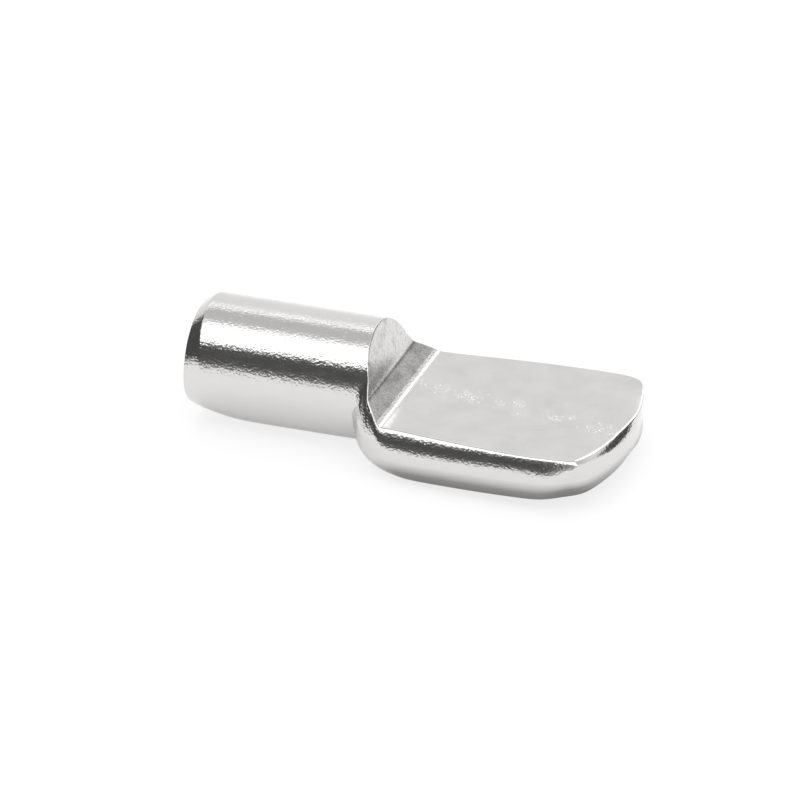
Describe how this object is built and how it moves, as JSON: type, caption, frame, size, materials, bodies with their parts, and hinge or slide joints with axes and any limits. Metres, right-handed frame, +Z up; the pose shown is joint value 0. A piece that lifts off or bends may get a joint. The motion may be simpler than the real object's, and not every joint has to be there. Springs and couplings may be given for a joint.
{
  "type": "shelf support pin",
  "caption": "Plated steel shelf support pin: a round pin for a cabinet side hole, pressed out past a sloped shoulder into a flat spoon blade that carries the shelf.",
  "frame": {"origin": "on the pin's axis, in the plane where the pin ends and the blade starts to spread, which is the face of the cabinet side", "axes": "+X along the pin's axis, out of the hole toward the blade's tip; +Z up, toward the shelf on the seat; +Y across the blade"},
  "size_m": [0.0182, 0.0088, 0.005],
  "materials": {
    "nickel": "bright nickel plate over tumbled, pressed steel"
  },
  "bodies": {
    "root": {"shelf_pin": "nickel"}
  },
  "joints": []
}
